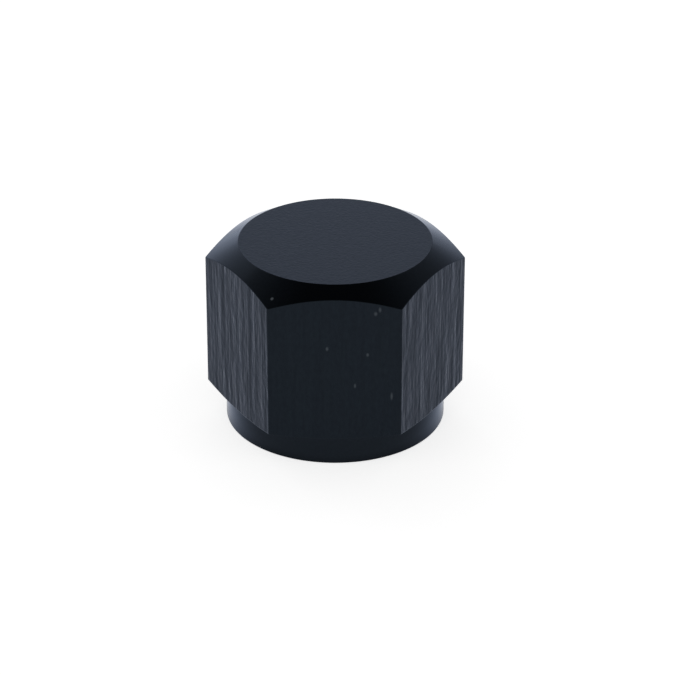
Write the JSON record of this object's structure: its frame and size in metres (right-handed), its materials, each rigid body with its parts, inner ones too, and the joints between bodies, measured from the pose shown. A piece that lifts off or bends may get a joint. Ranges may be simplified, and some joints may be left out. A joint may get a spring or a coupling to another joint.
{
  "type": "threaded protection cap",
  "caption": "Hexagonal screw-on protection cap with a blind threaded bore, a flared-fitting seat inside, a chamfered closed end and a short round collar at the mouth.",
  "frame": {"origin": "centre of the open mouth's rim plane, on the cap's axis", "axes": "+Z along the axis from the mouth to the closed end; -Y is the outward normal of one of the six flats"},
  "size_m": [0.02, 0.0174, 0.0149],
  "materials": {
    "anodised_aluminium": "matte black anodised, drawn-bar flats, turned ends"
  },
  "bodies": {
    "root": {"cap": "anodised_aluminium"}
  },
  "joints": []
}
